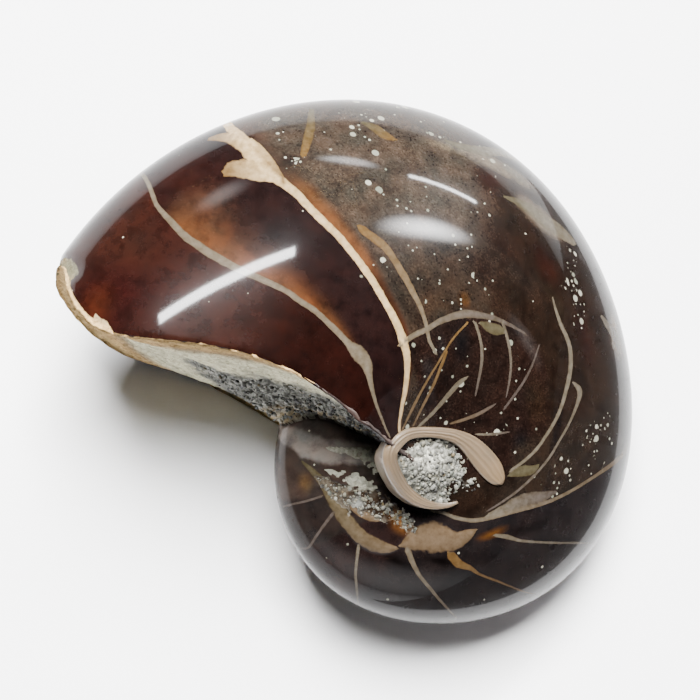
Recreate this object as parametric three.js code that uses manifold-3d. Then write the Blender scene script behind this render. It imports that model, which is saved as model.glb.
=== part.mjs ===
// A polished fossil nautilus lying on its side. Millimetres, +Z up, origin at the middle of the base.
//
// The fossil is one solid. The last whorl of the coil grows by a fixed ratio in each turn, the mouth is
// broken off and still packed with hardened sand, and the two flanks were ground and polished down to a small
// navel. The coil is modelled about its own axis first, then leaned over until it lies as it balances on its
// lower flank, where a small flat was ground on the broadest part of the side.

import * as THREE from 'three';
import { LoftGeometry } from 'three/addons/geometries/LoftGeometry.js';
import { mergeVertices } from 'three/addons/utils/BufferGeometryUtils.js';
import Module from 'manifold-3d';

// The coil, in millimetres.
const COIL_RADIUS = 57; // coil axis to the belly line near the mouth, before the flare
const TURN_GROWTH = 2.76; // how many times larger the whorl is after one full turn
const MOUTH_FLARE = 0.054; // extra growth towards the mouth
const COIL_OVAL = 0.033; // how far the coil is out of round
const GROUND_AWAY = 0.028; // how unevenly the belly was ground down, strongest half a turn from the mouth
const GROUND_PHASE = 27; // where round the coil the three shallow ground places lie
const HALF_BREADTH = 23.7; // middle plane to the broadest line of the flank, at the mouth
const SHOULDER = 0.357; // where the flank is broadest, as a share of the whorl's radius
const BELLY_ROUNDING = 1.09; // above 1 draws the belly in, below 1 squares it
const FLANK_SLOPE = 0.17; // how much flatter than an ellipse the slope from belly to flank is
const NAVEL_HEIGHT = 14.7; // middle plane to the middle of the navel
const NAVEL_SHIFT = new THREE.Vector2( - 1.1, 4 ); // the navel sits off the coil axis

// The broken mouth. Each row is a place across the section and an angle in degrees. Places run from -2 at the
// lower navel through 0 at the belly line to 2 at the upper navel, and the flank is broadest at -1 and 1.
const LIP_LINE = [
	[ - 2, - 8 ], [ - 1, - 8 ], [ - 0.6, - 1.2 ], [ 0, - 5 ],
	[ 0.4, 2.6 ], [ 0.85, - 3.8 ], [ 1.2, 1 ], [ 2, 12 ]
];
const CORE_REACH = [ [ - 2, 0 ], [ - 0.6, 5 ], [ 0, 12 ], [ 0.6, 2 ], [ 1, 0 ], [ 2, 12 ] ];
const CORE_HOLLOW = 1.6; // how far the sand core dips between the lips

// How it lies, in degrees.
const LEAN = 13; // how far the upper end of the coil axis leans over
const LEAN_TOWARDS = 173; // which way it leans, measured round the coil
const HEADING = 335.5; // how the leaned coil is turned on the table
const GROUND_OFF = 1.2; // depth of the flat that it rests on

const SECTIONS = 64; // round the whorl
const PLACES = 40; // across each section
const CORE_STRIPS = 4; // across the sand core

const radians = THREE.MathUtils.degToRad;

// Height of a smooth line through rows of [place, value], with level ends.
function along( rows, place ) {

	const next = Math.max( 1, rows.findIndex( ( row ) => place <= row[ 0 ] ) );
	const [ from, to ] = [ rows[ next - 1 ], rows[ next ] ];
	return THREE.MathUtils.lerp( from[ 1 ], to[ 1 ], THREE.MathUtils.smoothstep( place, from[ 0 ], to[ 0 ] ) );

}

// A point on the shell. Angles run with growth, from -360 degrees up to 0 at the mouth.
function shellPoint( angle, place ) {

	const turn = radians( angle );
	const growth = Math.pow( TURN_GROWTH, angle / 360 );
	const ripple = Math.cos( 3 * turn + radians( GROUND_PHASE ) );
	const uneven = GROUND_AWAY * ripple * Math.pow( Math.sin( turn / 2 ), 2 );
	const flare = MOUTH_FLARE * Math.cos( turn / 2 ) - COIL_OVAL * Math.sin( turn ) - uneven;
	const belly = COIL_RADIUS * growth * Math.exp( flare );
	const broadest = HALF_BREADTH * growth;
	const out = Math.abs( place );
	let radius, height;
	if ( out <= 1 ) {

		const round = out * Math.PI / 2;
		const reach = Math.pow( Math.max( 0, Math.cos( round ) ), BELLY_ROUNDING );
		radius = belly * THREE.MathUtils.lerp( SHOULDER, 1, reach );
		height = broadest * Math.sin( round ) * ( 1 - FLANK_SLOPE * Math.pow( Math.cos( round ), 2 ) );

	} else {

		radius = belly * SHOULDER * ( 2 - out );
		height = THREE.MathUtils.lerp( NAVEL_HEIGHT, broadest, THREE.MathUtils.smoothstep( 2 - out, 0, 1 ) );

	}

	const shift = 1 - radius / belly;
	return new THREE.Vector3(
		radius * Math.cos( turn ) + NAVEL_SHIFT.x * shift,
		radius * Math.sin( turn ) + NAVEL_SHIFT.y * shift,
		Math.sign( place ) * height
	);

}

// A closed BufferGeometry as a solid for cutting.
function solid( wasm, geometry ) {

	const bare = new THREE.BufferGeometry();
	bare.setAttribute( 'position', geometry.getAttribute( 'position' ).clone() );
	bare.setIndex( geometry.index );
	const merged = mergeVertices( bare, 1e-3 );
	const corners = merged.index.array;
	const triVerts = [];
	for ( let i = 0; i < corners.length; i += 3 ) {

		const [ a, b, c ] = corners.slice( i, i + 3 );
		if ( a !== b && b !== c && c !== a ) triVerts.push( a, b, c );

	}

	return new wasm.Manifold( new wasm.Mesh( {
		numProp: 3,
		vertProperties: merged.attributes.position.array,
		triVerts: new Uint32Array( triVerts )
	} ) );

}

// The coil: one section after another round the whorl, then strips across the sand core back to the first.
function coilGeometry() {

	const places = Array.from( { length: PLACES + 1 }, ( _, i ) => 2 - 4 * i / PLACES );
	const sections = [];
	for ( let k = 0; k <= SECTIONS; k ++ ) {

		sections.push( places.map( ( place ) => {

			const [ first, last ] = [ along( CORE_REACH, place ) - 360, along( LIP_LINE, place ) ];
			return shellPoint( THREE.MathUtils.lerp( first, last, k / SECTIONS ), place );

		} ) );

	}

	const lip = sections[ SECTIONS ];
	const backwards = new THREE.Vector3( 0, - 1, 0 );
	for ( let k = 1; k <= CORE_STRIPS; k ++ ) {

		const share = k / CORE_STRIPS;
		sections.push( lip.map( ( point, i ) => {

			const span = point.distanceTo( sections[ 0 ][ i ] ) / COIL_RADIUS;
			return point.clone().lerp( sections[ 0 ][ i ], share )
				.addScaledVector( backwards, CORE_HOLLOW * span * Math.sin( Math.PI * share ) );

		} ) );

	}

	return new LoftGeometry( sections, { closed: false } );

}

const wasm = await Module();
wasm.setup();

// Lay the coil down, then grind the flat that it rests on.
const lying = new THREE.Matrix4().makeRotationZ( radians( HEADING ) )
	.multiply( new THREE.Matrix4().makeRotationY( radians( LEAN ) ) )
	.multiply( new THREE.Matrix4().makeRotationZ( radians( - LEAN_TOWARDS ) ) );
const laid = coilGeometry().applyMatrix4( lying );
laid.computeBoundingBox();
const base = laid.boundingBox.min.z + GROUND_OFF;
const below = 2 * COIL_RADIUS;
const table = new THREE.BoxGeometry( 2 * below, 2 * below, below ).translate( 0, 0, base - below / 2 );
const ground = solid( wasm, laid ).subtract( solid( wasm, table ) ).getMesh();

const geometry = new THREE.BufferGeometry();
geometry.setAttribute( 'position', new THREE.Float32BufferAttribute( ground.vertProperties, 3 ) );
geometry.setIndex( new THREE.Uint32BufferAttribute( ground.triVerts, 1 ) );
geometry.computeBoundingBox();
const middle = geometry.boundingBox.getCenter( new THREE.Vector3() );
geometry.translate( - middle.x, - middle.y, - base );
geometry.computeVertexNormals();

const polishedCalcite = new THREE.MeshStandardMaterial( { color: 0x4a2c22, roughness: 0.12, metalness: 0 } );
const shell = new THREE.Mesh( geometry, polishedCalcite );
shell.name = 'nautilus_shell';

const fossil = new THREE.Group();
fossil.add( shell );

export default fossil;
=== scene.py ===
import math
import bpy
import numpy as np
from mathutils import Matrix, Vector, noise

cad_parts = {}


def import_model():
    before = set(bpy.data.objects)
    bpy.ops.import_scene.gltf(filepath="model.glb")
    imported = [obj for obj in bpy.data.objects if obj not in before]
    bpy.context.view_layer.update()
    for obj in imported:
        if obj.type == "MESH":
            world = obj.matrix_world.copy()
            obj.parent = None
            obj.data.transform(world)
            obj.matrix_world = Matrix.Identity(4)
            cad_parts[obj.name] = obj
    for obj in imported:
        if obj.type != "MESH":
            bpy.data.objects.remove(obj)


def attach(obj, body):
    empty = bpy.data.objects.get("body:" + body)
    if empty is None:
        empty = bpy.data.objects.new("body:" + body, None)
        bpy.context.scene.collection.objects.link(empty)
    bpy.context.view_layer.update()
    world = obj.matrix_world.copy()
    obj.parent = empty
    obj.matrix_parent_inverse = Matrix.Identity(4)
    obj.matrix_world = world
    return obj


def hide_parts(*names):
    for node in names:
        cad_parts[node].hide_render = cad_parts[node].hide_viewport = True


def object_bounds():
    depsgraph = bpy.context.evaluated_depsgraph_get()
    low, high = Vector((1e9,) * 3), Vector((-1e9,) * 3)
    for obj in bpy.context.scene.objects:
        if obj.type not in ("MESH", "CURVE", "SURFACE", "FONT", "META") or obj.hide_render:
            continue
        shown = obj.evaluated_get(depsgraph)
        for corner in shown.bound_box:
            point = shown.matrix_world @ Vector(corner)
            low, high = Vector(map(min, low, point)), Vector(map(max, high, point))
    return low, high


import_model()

cad_low, cad_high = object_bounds()
MM = 0.001

# The polished shell. A fossil nautilus, its chambers filled with dark calcite and speckled silt, was ground
# back through its wall and polished to a wet gloss; only the broken mouth was left rough. It is one stone, so
# it is one closed skin: a sheet laid round the coil, over the mouth and back to where it began.

# The coil, in millimetres and degrees, as the solid part has it.
COIL_RADIUS, TURN_GROWTH = 57.0, 2.76
MOUTH_FLARE, COIL_OVAL = 0.054, 0.033
GROUND_AWAY, GROUND_PHASE = 0.028, 27.0
HALF_BREADTH, SHOULDER = 23.7, 0.357
BELLY_ROUNDING, FLANK_SLOPE = 1.09, 0.17
NAVEL_HEIGHT, NAVEL_SHIFT = 14.7, (-1.1, 4.0)
LIP_LINE = ((-2, -8), (-1, -8), (-0.6, -1.2), (0, -5), (0.4, 2.6), (0.85, -3.8), (1.2, 1), (2, 12))
CORE_REACH = ((-2, 0), (-0.6, 5), (0, 12), (0.6, 2), (1, 0), (2, 12))
CORE_HOLLOW = 1.6
LEAN, LEAN_TOWARDS, HEADING = 13.0, 173.0, 335.5
LAID_AT = np.array([8.641, -12.374, 17.119])
# The sheet: its columns round the turn and across the mouth, its rows on each flank, and how far it is
# drawn in.
TURN_COLUMNS, CORE_COLUMNS, UPPER_ROWS, LOWER_ROWS = 430, 74, 114, 62
SKIN_IN = 0.05


def smooth_step(x, low=0.0, high=1.0):
    """0 below low, 1 above high, and a smooth rise between them."""
    t = np.clip((x - low) / (high - low), 0.0, 1.0)
    return t * t * (3.0 - 2.0 * t)


def along(rows, place):
    """The height of a smooth line through rows of (place, value) with level ends."""
    value = np.full(np.shape(place), float(rows[0][1]))
    for (p0, v0), (p1, v1) in zip(rows, rows[1:]):
        value = value + (v1 - v0) * smooth_step(place, p0, p1)
    return value


def coil_point(angle, place):
    """Points on the coil in millimetres about its own axis. Angles in degrees run with growth, up to 0 at the
    mouth. Places run over the section: -2 and 2 are the lower and upper navel, 0 the belly, 1 the widest."""
    turn = np.radians(angle)
    growth = TURN_GROWTH ** (angle / 360.0)
    uneven = GROUND_AWAY * np.cos(3 * turn + math.radians(GROUND_PHASE)) * np.sin(turn / 2) ** 2
    flare = MOUTH_FLARE * np.cos(turn / 2) - COIL_OVAL * np.sin(turn) - uneven
    belly = COIL_RADIUS * growth * np.exp(flare)
    out = np.abs(place)
    bend = np.clip(out, 0, 1) * math.pi / 2
    inward = np.clip(2 - out, 0, 1)
    outer_radius = belly * (SHOULDER + (1 - SHOULDER) * np.clip(np.cos(bend), 0, 1) ** BELLY_ROUNDING)
    outer_height = HALF_BREADTH * growth * np.sin(bend) * (1 - FLANK_SLOPE * np.cos(bend) ** 2)
    inner_height = NAVEL_HEIGHT + (HALF_BREADTH * growth - NAVEL_HEIGHT) * smooth_step(inward)
    radius = np.where(out <= 1, outer_radius, belly * SHOULDER * inward)
    height = np.where(out <= 1, outer_height, inner_height)
    shift = 1 - radius / belly
    x = radius * np.cos(turn) + NAVEL_SHIFT[0] * shift
    y = radius * np.sin(turn) + NAVEL_SHIFT[1] * shift
    return np.stack([x, y, np.sign(place) * height], axis=-1)


LYING = np.array(
    Matrix.Rotation(math.radians(HEADING), 3, "Z")
    @ Matrix.Rotation(math.radians(LEAN), 3, "Y")
    @ Matrix.Rotation(math.radians(-LEAN_TOWARDS), 3, "Z")
)


def laid_point(angle, place):
    """The same points on the stone as it lies on its ground flat."""
    return coil_point(np.asarray(angle, float), np.asarray(place, float)) @ LYING.T + LAID_AT


def read(data, label, width=1):
    """One property of every vertex as an array."""
    values = np.zeros(len(data) * width)
    data.foreach_get(label, values)
    return values.reshape(-1, width) if width > 1 else values


def sheet(label, columns, rows):
    """A flat sheet to be laid in place, with the column and the row number of every vertex."""
    bpy.ops.object.select_all(action="DESELECT")
    bpy.ops.mesh.primitive_grid_add(x_subdivisions=columns, y_subdivisions=rows, size=2, calc_uvs=True)
    made = bpy.context.object
    made.name = label
    spread = (read(made.data.vertices, "co", 3)[:, :2] + 1) / 2 * (columns, rows)
    return made, np.rint(spread[:, 0]), np.rint(spread[:, 1])


def put_points(data, points):
    """Move every vertex of a mesh to its point, given in millimetres."""
    data.vertices.foreach_set("co", (points * MM).ravel())


def close_sheet(threshold, fill=False):
    """Weld the edges of the sheet just laid where they meet, fill its ends and turn its faces outwards."""
    bpy.ops.object.mode_set(mode="EDIT")
    bpy.ops.mesh.select_all(action="SELECT")
    bpy.ops.mesh.remove_doubles(threshold=threshold)
    if fill:
        bpy.ops.mesh.fill_holes(sides=0)
    bpy.ops.mesh.normals_make_consistent(inside=False)
    bpy.ops.object.mode_set(mode="OBJECT")


# Columns run with growth and then across the mouth, rows from the lower navel to the upper one.
shell, column, row = sheet("polished_shell", TURN_COLUMNS + CORE_COLUMNS, UPPER_ROWS + LOWER_ROWS)
mesh = shell.data
row = row - LOWER_ROWS
place = np.where(row > 0, 2 * row / UPPER_ROWS, 2 * row / LOWER_ROWS)
first_angle = along(CORE_REACH, place) - 360
lip_angle = along(LIP_LINE, place)
angle = first_angle + (lip_angle - first_angle) * np.clip(column / TURN_COLUMNS, 0, 1)
across = np.clip((column - TURN_COLUMNS) / CORE_COLUMNS, 0, 1)
lip, root = coil_point(lip_angle, place), coil_point(first_angle, place)
face_span = np.linalg.norm(root - lip, axis=-1)
point = coil_point(angle, place) + (root - lip) * across[:, None]
point[:, 1] -= CORE_HOLLOW * face_span / COIL_RADIUS * np.sin(math.pi * across)
put_points(mesh, point @ LYING.T + LAID_AT)

# How far each point of the mouth lies inside its border, below zero on the skin outside it.
growth_mm = np.linalg.norm(coil_point(angle + 0.5, place) - coil_point(angle - 0.5, place), axis=-1)
inside = np.where(
    across > 0,
    np.minimum(across, 1 - across) * face_span,
    -np.minimum(lip_angle - angle, angle - first_angle) * growth_mm,
)
across = np.where((across == 0) & (angle < -180), 1.0, across)
for label, values in (("angle", angle), ("place", place), ("across", across), ("inside", inside)):
    mesh.attributes.new(label, "FLOAT", "POINT").data.foreach_set("value", values)
close_sheet(1e-6)
angle, place, across, inside = (
    read(mesh.attributes[label].data, "value") for label in ("angle", "place", "across", "inside")
)
spot = read(mesh.vertices, "co", 3) / MM
normal = read(mesh.vertex_normals, "vector", 3)
side = np.abs(place)
on_face = smooth_step(inside, 0.0, 0.6)

# Lines and bands, each given on the upper flank as rows of angle, place and half-width in millimetres.
SEAM_FAR = 400.0


def between(a, b, c, d, t):
    """A point of the smooth curve through a, b, c and d, at the share t from b to c."""
    return 0.5 * (2 * b + (c - a) * t + (2 * a - 5 * b + 4 * c - d) * t**2 + (3 * b - a - 3 * c + d) * t**3)


def curve(rows, steps=8):
    """A fine smooth curve through the rows, with its half-widths, drawn out to nothing at both ends."""
    rows = np.array(rows, float)
    knots = np.column_stack([laid_point(rows[:, 0], rows[:, 1]), rows[:, 2]])
    before, after = 2 * knots[0] - knots[1], 2 * knots[-1] - knots[-2]
    knots = np.vstack([before, knots, after])
    fine = []
    for a, b, c, d in zip(knots, knots[1:], knots[2:], knots[3:]):
        fine += [between(a, b, c, d, t) for t in np.arange(steps) / steps]
    fine = np.array(fine + [knots[-2]])
    heading_in, heading_out = fine[0, :3] - fine[1, :3], fine[-1, :3] - fine[-2, :3]
    tip_in = fine[0, :3] + heading_in / np.linalg.norm(heading_in) * (0.3 + 1.2 * fine[0, 3])
    tip_out = fine[-1, :3] + heading_out / np.linalg.norm(heading_out) * (0.3 + 1.2 * fine[-1, 3])
    fine = np.vstack([np.append(tip_in, 0.01), fine, np.append(tip_out, 0.01)])
    fine[:, 3] = np.maximum(fine[:, 3], 0.01)
    return fine


def beside(rows):
    """How many half-widths every vertex lies from a line, below zero on its right, and how far along it."""
    fine = curve(rows)
    low, high = fine[:, :3].min(0) - 8, fine[:, :3].max(0) + 8
    near = np.flatnonzero(((spot > low) & (spot < high)).all(1))
    best, least_gap = np.full(len(near), 1e9), np.full(len(near), 1e9)
    reach = np.zeros(len(near))
    for k in range(len(fine) - 1):
        a, b = fine[k, :3], fine[k + 1, :3]
        step = b - a
        t = np.clip((spot[near] - a) @ step / (step @ step), 0, 1)
        gap = spot[near] - a - t[:, None] * step
        half = fine[k, 3] + t * (fine[k + 1, 3] - fine[k, 3])
        far = np.linalg.norm(gap, axis=1)
        closer = far - half < least_gap
        least_gap[closer] = (far - half)[closer]
        hand = np.sign((np.cross(step, gap) * normal[near]).sum(1))
        best[closer] = (far / half * np.where(hand == 0, 1, hand))[closer]
        reach[closer] = (k + t[closer]) / (len(fine) - 1)
    value, travel = np.full(len(spot), SEAM_FAR), np.zeros(len(spot))
    value[near], travel[near] = best, reach
    return value, travel


def both(rows):
    """The line on the upper flank, and its mirror on the lower one."""
    return [rows, [(a - 1.0, -p * 0.985, w) for a, p, w in rows]]


def over_belly(rows):
    """A septum's edge: down the upper flank, over the belly and up the lower flank."""
    middle = [(rows[-1][0] - 1.0, 0.0, rows[-1][2])]
    return [rows + middle + [(a - 1.0, -p * 0.985, w) for a, p, w in reversed(rows)]]


CREAM = (0.250, 0.180, 0.098)
TAN = (0.055, 0.0385, 0.024)
OCHRE = (0.062, 0.036, 0.013)
GREY_PINK = (0.034, 0.027, 0.024)
WHITISH = (0.062, 0.053, 0.040)
OLIVE = (0.036, 0.031, 0.018)
MILK = (0.060, 0.049, 0.035)

S1 = [(-2.8, 1.445, 0.2), (-6.2, 1.365, 0.24), (-11.8, 1.225, 0.3), (-15.5, 1.135, 0.42),
      (-19.2, 1.05, 0.6),
      (-22.0, 0.985, 1.1), (-22.2, 0.95, 1.25), (-22.2, 0.915, 0.62), (-22.2, 0.85, 0.5),
      (-22.0, 0.8, 0.48),
      (-21.2, 0.76, 0.47), (-20.8, 0.72, 0.47), (-19.2, 0.66, 0.53), (-18.0, 0.605, 0.6),
      (-17.5, 0.565, 0.68),
      (-17.2, 0.52, 0.7), (-17.2, 0.485, 0.7), (-17.2, 0.44, 0.62), (-17.8, 0.39, 0.55),
      (-18.5, 0.335, 0.47),
      (-19.2, 0.28, 0.36), (-20.5, 0.225, 0.36), (-22.2, 0.125, 0.36)]
S2 = [(-7.2, 1.54, 0.28), (-14.2, 1.47, 0.34), (-24.8, 1.38, 0.42), (-31.2, 1.305, 0.5),
      (-37.2, 1.19, 0.57),
      (-40.0, 1.095, 0.64), (-41.0, 1.005, 0.78), (-42.0, 0.95, 0.68), (-41.8, 0.905, 0.64),
      (-41.5, 0.85, 0.64),
      (-41.2, 0.8, 0.64), (-40.5, 0.74, 0.64), (-39.8, 0.685, 0.64), (-38.8, 0.63, 0.67),
      (-38.0, 0.575, 0.7),
      (-37.8, 0.53, 0.74), (-37.0, 0.48, 0.86), (-36.5, 0.445, 1.0), (-36.2, 0.4, 1.2), (-36.2, 0.33, 1.3),
      (-36.8, 0.265, 1.3), (-37.2, 0.2, 1.1), (-37.6, 0.13, 0.8)]
S3 = [(-56.0, 1.13, 0.27), (-53.8, 1.04, 0.32), (-54.0, 0.97, 0.35), (-53.8, 0.925, 0.42),
      (-52.8, 0.88, 0.52),
      (-52.0, 0.845, 0.6), (-50.8, 0.795, 0.62), (-49.5, 0.745, 0.7), (-47.8, 0.715, 0.78),
      (-45.8, 0.68, 0.7)]
ARC = [(-39.8, 1.01, 0.4), (-47.2, 0.99, 0.45), (-54.2, 0.98, 0.45), (-60.5, 0.96, 0.48),
       (-67.8, 0.94, 0.55),
       (-73.8, 0.925, 0.68), (-79.2, 0.915, 0.55), (-86.5, 0.9, 0.44), (-94.0, 0.885, 0.32),
       (-101.8, 0.865, 0.2)]
S4A = [(-106.2, 0.68, 0.16), (-109.0, 0.7, 0.3), (-113.5, 0.715, 0.43), (-117.5, 0.715, 0.5),
       (-121.2, 0.72, 0.51),
       (-125.2, 0.74, 0.49), (-129.0, 0.77, 0.46), (-132.2, 0.8, 0.42), (-136.5, 0.835, 0.37),
       (-141.0, 0.875, 0.34),
       (-146.0, 0.925, 0.31), (-151.8, 0.975, 0.3), (-157.0, 1.075, 0.29), (-163.2, 1.21, 0.27)]
S4B = [(-131.8, 0.755, 0.2), (-135.8, 0.73, 0.62), (-138.8, 0.745, 0.42), (-142.0, 0.775, 0.29),
       (-145.8, 0.81, 0.26), (-150.8, 0.855, 0.25), (-157.0, 0.895, 0.25), (-163.2, 0.935, 0.25),
       (-170.2, 0.975, 0.25), (-179.5, 1.045, 0.22), (-190.0, 1.12, 0.19), (-201.2, 1.155, 0.14)]
S5 = [(-258.2, 1.295, 0.2), (-244.2, 1.3, 0.28), (-229.5, 1.205, 0.34), (-216.0, 1.105, 0.34),
      (-204.0, 1.035, 0.36),
      (-193.8, 0.97, 0.4), (-185.8, 0.9, 0.37), (-180.2, 0.83, 0.34), (-175.0, 0.755, 0.3),
      (-169.8, 0.665, 0.3),
      (-166.2, 0.575, 0.34), (-164.0, 0.495, 0.45), (-161.8, 0.39, 0.6), (-159.8, 0.305, 0.7)]
WALL = [(-334.2, 0.38, 0.2), (-329.8, 0.47, 0.5), (-324.0, 0.54, 0.72), (-315.8, 0.58, 0.95),
        (-306.5, 0.61, 1.1),
        (-299.0, 0.63, 1.14), (-291.8, 0.645, 1.14), (-285.0, 0.675, 1.14), (-278.8, 0.71, 0.86),
        (-274.8, 0.745, 0.43)]
FIN = [(-272.0, 0.79, 0.36), (-267.5, 0.845, 1.29), (-261.5, 0.895, 2.0), (-252.8, 0.925, 2.43),
       (-243.8, 0.915, 1.86), (-235.8, 0.92, 1.43), (-227.5, 0.95, 0.93), (-221.5, 0.97, 0.36)]
# Lines that meet are kept in different groups, so that each stays sharp where they touch.
SEAMS = [
    [(over_belly(S1), MILK, MILK), (both(S4A), WHITISH, WHITISH), (both([(-77.5, 0.94, 0.27),
      (-80.5, 0.975, 0.28),
      (-83.0, 1.03, 0.3), (-85.0, 1.125, 0.29), (-86.8, 1.255, 0.24),
      (-88.5, 1.355, 0.17)]), WHITISH, GREY_PINK),
     (over_belly([(-210.8, 0.895, 0.27), (-206.2, 0.85, 0.4), (-203.0, 0.79, 0.24), (-197.5, 0.7, 0.21),
      (-193.0, 0.595, 0.2), (-189.0, 0.45, 0.2), (-186.0, 0.2, 0.2)]), WHITISH, GREY_PINK),
     (over_belly([(-267.2, 0.775, 0.5), (-261.8, 0.71, 0.42), (-256.0, 0.635, 0.33), (-249.5, 0.555, 0.28),
      (-244.0, 0.46, 0.24), (-239.0, 0.345, 0.21), (-232.5, 0.11, 0.19)]), MILK, GREY_PINK),
     (over_belly([(-308.8, 0.545, 0.28), (-305.5, 0.455, 0.25), (-302.0, 0.34, 0.22), (-298.8, 0.19, 0.2)]),
      GREY_PINK, GREY_PINK)],
    [(over_belly(S2), CREAM, CREAM), (both([(-90.5, 0.895, 0.3), (-94.0, 0.92, 0.3), (-98.2, 0.95, 0.28),
      (-102.2, 0.985, 0.25), (-106.0, 1.065, 0.22), (-110.0, 1.16, 0.14)]), WHITISH, GREY_PINK),
     (both(S4B), WHITISH, GREY_PINK),
     (over_belly([(-240.5, 0.81, 0.7), (-236.2, 0.75, 0.7), (-231.2, 0.72, 0.42), (-227.2, 0.665, 0.24),
      (-219.8, 0.57, 0.2), (-213.8, 0.435, 0.18), (-207.5, 0.2, 0.16)]), OCHRE, GREY_PINK),
     (over_belly([(-288.8, 0.58, 0.28), (-284.5, 0.5, 0.25), (-279.8, 0.395, 0.22), (-274.8, 0.275, 0.2),
      (-269.0, 0.05, 0.18)]), WHITISH, GREY_PINK),
     (over_belly([(-318.2, 0.5, 0.2), (-317.2, 0.365, 0.2), (-316.8, 0.225, 0.19), (-316.2, 0.05, 0.17)]),
      GREY_PINK, GREY_PINK)],
    [(both(ARC), MILK, GREY_PINK), (both(S5), WHITISH, TAN), (both(WALL), OLIVE, TAN),
     (both([(-36.2, 0.35, 1.1), (-36.4, 0.27, 1.3), (-35.6, 0.19, 1.3), (-34.0, 0.15, 0.7)]), CREAM, OCHRE),
     (both([(-73.8, 0.35, 0.29), (-76.8, 0.35, 0.8), (-81.0, 0.325, 1.1), (-86.2, 0.245, 1.1),
      (-92.0, 0.135, 1.1),
      (-94.8, 0.13, 0.57)]), OLIVE, WHITISH)],
    [(both([(-11.8, 1.52, 0.22), (-26.0, 1.475, 0.28), (-35.0, 1.425, 0.32), (-45.5, 1.34, 0.25),
      (-55.8, 1.22, 0.2), (-65.8, 1.04, 0.18), (-74.0, 0.95, 0.21)]), TAN, OCHRE),
     (both([(-110.0, 0.845, 0.14), (-112.2, 0.91, 0.21), (-113.5, 0.97, 0.24), (-114.2, 1.09, 0.24),
      (-115.0, 1.23, 0.2)]), GREY_PINK, GREY_PINK),
     (both([(-111.8, 1.56, 0.16), (-123.8, 1.435, 0.21), (-131.5, 1.27, 0.16)]), WHITISH, GREY_PINK),
     (both(FIN), TAN, TAN),
     (both([(-37.0, 0.48, 0.43), (-37.8, 0.41, 0.57), (-38.0, 0.335, 0.71),
      (-38.0, 0.275, 0.57)]), OCHRE, CREAM),
     (both([(-85.8, 0.495, 0.21), (-89.2, 0.48, 0.71), (-93.0, 0.465, 1.29), (-97.8, 0.455, 1.57),
      (-102.5, 0.42, 1.57), (-106.8, 0.385, 1.0)]), OLIVE, WHITISH)],
    [(both([(-27.2, 1.595, 0.25), (-47.2, 1.555, 0.35), (-63.5, 1.445, 0.43), (-71.8, 1.345, 0.45),
      (-77.0, 1.285, 0.28)]), WHITISH, WHITISH),
     (both([(-35.8, 0.45, 0.57), (-34.5, 0.41, 1.57), (-33.5, 0.375, 1.9), (-32.2, 0.355, 1.7),
      (-31.2, 0.35, 1.1)]), CREAM, OCHRE),
     (both([(-166.5, 1.195, 0.4), (-164.2, 1.085, 0.86), (-164.0, 0.98, 0.71),
      (-161.8, 0.955, 0.29)]), OLIVE, OLIVE),
     (both([(-58.0, 0.31, 0.43), (-59.5, 0.34, 1.0), (-60.5, 0.37, 1.0),
      (-62.0, 0.39, 0.43)]), OLIVE, OCHRE),
     (both([(-124.0, 0.46, 0.29), (-127.2, 0.43, 0.86), (-130.8, 0.39, 1.14), (-134.2, 0.375, 0.71)]),
      WHITISH, GREY_PINK)],
    [(both([(-25.0, 1.56, 0.2), (-42.8, 1.455, 0.28), (-52.2, 1.355, 0.28), (-58.2, 1.24, 0.3),
      (-62.5, 1.13, 0.22)]), TAN, OCHRE),
     (both([(-72.8, 1.625, 0.19), (-87.5, 1.56, 0.27), (-98.5, 1.46, 0.3), (-104.2, 1.36, 0.25),
      (-106.8, 1.295, 0.14)]), TAN, GREY_PINK),
     (both([(-80.8, 0.935, 0.29), (-85.0, 0.935, 0.86), (-89.2, 0.925, 0.86),
      (-92.0, 0.915, 0.29)]), OLIVE, OLIVE),
     (both([(-175.0, 0.815, 0.29), (-179.0, 0.88, 1.0), (-184.8, 0.955, 1.29), (-194.5, 1.015, 0.86),
      (-203.8, 1.08, 0.43)]), GREY_PINK, WHITISH),
     (both([(-308.5, 0.69, 0.29), (-303.0, 0.735, 0.5), (-297.5, 0.8, 0.71), (-294.5, 0.88, 0.71),
      (-294.2, 0.96, 0.36)]), TAN, TAN)],
    [(both(S3), WHITISH, OCHRE), (both([(-51.0, 0.175, 0.43), (-48.5, 0.29, 0.71), (-46.0, 0.36, 0.71),
      (-44.0, 0.405, 0.57)]), OLIVE, OCHRE)],
]
seam = np.full((9, len(spot)), SEAM_FAR)
seam_tint = np.tile(np.array(CREAM), (len(spot), 1))
nearest = np.full(len(spot), 1e9)
for group, members in enumerate(SEAMS):
    for lines, start_tint, end_tint in members:
        for mirrored, line in enumerate(lines):
            value, travel = beside(line)
            value = -value if mirrored else value
            closer = np.abs(value) < np.abs(seam[group])
            seam[group][closer] = value[closer]
            closer = np.abs(value) < nearest
            nearest[closer] = np.abs(value)[closer]
            blend = travel[closer][:, None]
            seam_tint[closer] = np.array(start_tint) * (1 - blend) + np.array(end_tint) * blend
seam = np.clip(np.sign(seam) * (np.abs(seam) + (np.abs(seam) / 4) ** 3), -SEAM_FAR, SEAM_FAR)

# What each part of the stone is coloured by, as soft patches of calcite, silt and stain between the septa.
tint = np.tile(np.array([0.0080, 0.0028, 0.0019]), (len(spot), 1))


def lay(colour, amount):
    """Cover the stone's colour with another by an amount from 0 to 1 at each vertex."""
    global tint
    amount = np.clip(amount, 0, 1)[:, None]
    tint = tint * (1 - amount) + np.array(colour) * amount


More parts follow.
